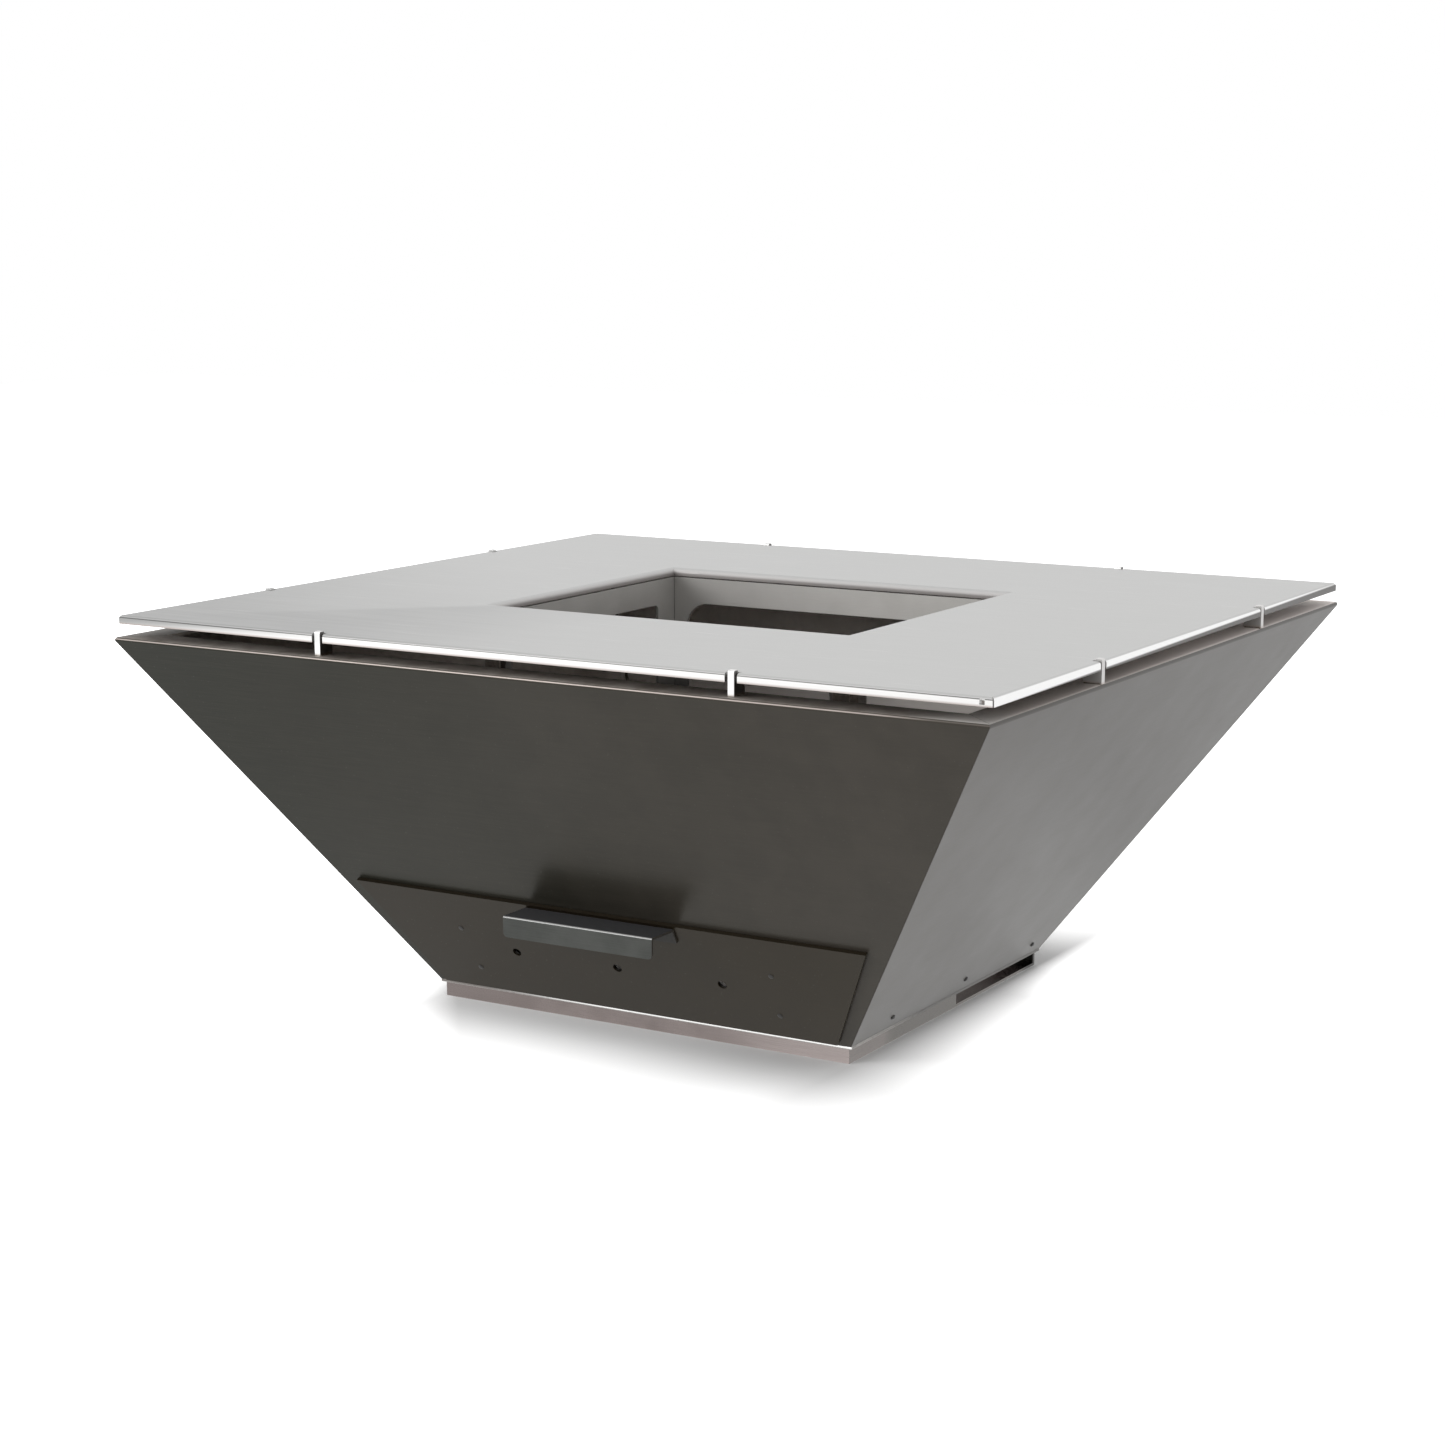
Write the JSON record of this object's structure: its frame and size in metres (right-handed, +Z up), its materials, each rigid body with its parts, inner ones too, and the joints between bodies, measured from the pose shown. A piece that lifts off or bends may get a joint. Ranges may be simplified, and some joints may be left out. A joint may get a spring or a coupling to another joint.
{
  "type": "fire pit with grate",
  "caption": "Low fire pit with a sloping sheet-steel bowl on a plinth, a lift-off cooking plate round a central firebox, a lift-out fire grate and a front ash drawer.",
  "frame": {"origin": "on the ground, under the centre of the bowl's rim and of the cooking plate", "axes": "+Z up; +X along the plate's longer side, to the right of someone facing the drawer; the drawer faces -Y"},
  "size_m": [1.0002, 0.905, 0.4252],
  "materials": {
    "bowl_steel": "smooth satin heat-proof coat, dark brown-grey",
    "plate_steel": "light satin, brushed along the length",
    "lug_steel": "satin, bright cut faces",
    "plinth_steel": "near-mirror polished sheet",
    "firebox_steel": "satin sheet",
    "floor_steel": "mill-finish sheet",
    "tray_steel": "mill-finish sheet",
    "drawer_steel": "the same satin coat as the bowl, a little browner",
    "screw_steel": "black-oxide steel",
    "grate_iron": "matt black, heat-darkened"
  },
  "bodies": {
    "pit": {"plinth_front": "plinth_steel", "plinth_right": "plinth_steel", "plinth_back": "plinth_steel", "plinth_left": "plinth_steel", "floor_plate": "floor_steel", "bowl_front_wall": "bowl_steel", "bowl_right_wall": "bowl_steel", "bowl_back_wall": "bowl_steel", "bowl_left_wall": "bowl_steel", "floor_angle_right": "floor_steel", "floor_angle_back": "floor_steel", "floor_angle_left": "floor_steel", "floor_screws": "screw_steel", "floor_nuts": "screw_steel", "plate_lug_front_1": "lug_steel", "plate_lug_front_2": "lug_steel", "plate_lug_right_1": "lug_steel", "plate_lug_right_2": "lug_steel", "plate_lug_back_1": "lug_steel", "plate_lug_back_2": "lug_steel", "plate_lug_left_1": "lug_steel", "plate_lug_left_2": "lug_steel", "firebox_front_wall": "firebox_steel", "grate_ledge_front": "firebox_steel", "firebox_right_wall": "firebox_steel", "grate_ledge_right": "firebox_steel", "firebox_back_wall": "firebox_steel", "grate_ledge_back": "firebox_steel", "firebox_left_wall": "firebox_steel", "grate_ledge_left": "firebox_steel", "firebox_leg_front_left": "firebox_steel", "firebox_leg_front_right": "firebox_steel", "firebox_leg_back_right": "firebox_steel", "firebox_leg_back_left": "firebox_steel", "drawer_runner_right": "floor_steel", "drawer_runner_left": "floor_steel"},
    "drawer": {"ash_tray": "tray_steel", "drawer_front": "drawer_steel", "drawer_handle": "drawer_steel", "drawer_rivets": "screw_steel", "handle_rivets": "screw_steel", "drawer_stop_right": "tray_steel", "drawer_stop_left": "tray_steel"},
    "plate": {"cooking_plate": "plate_steel"},
    "grate": {"grate_frame": "grate_iron", "grate_bars": "grate_iron"}
  },
  "joints": [
    {"name": "drawer_slide", "type": "slide", "parent": "pit", "child": "drawer", "axis": [0, -1, 0], "range_m": [0, 0.322]},
    {"name": "plate_lift", "type": "slide", "parent": "pit", "child": "plate", "axis": [0, 0, 1], "range_m": [0, 0.1]},
    {"name": "grate_lift", "type": "slide", "parent": "pit", "child": "grate", "axis": [0, 0, 1], "range_m": [0, 0.3]}
  ]
}
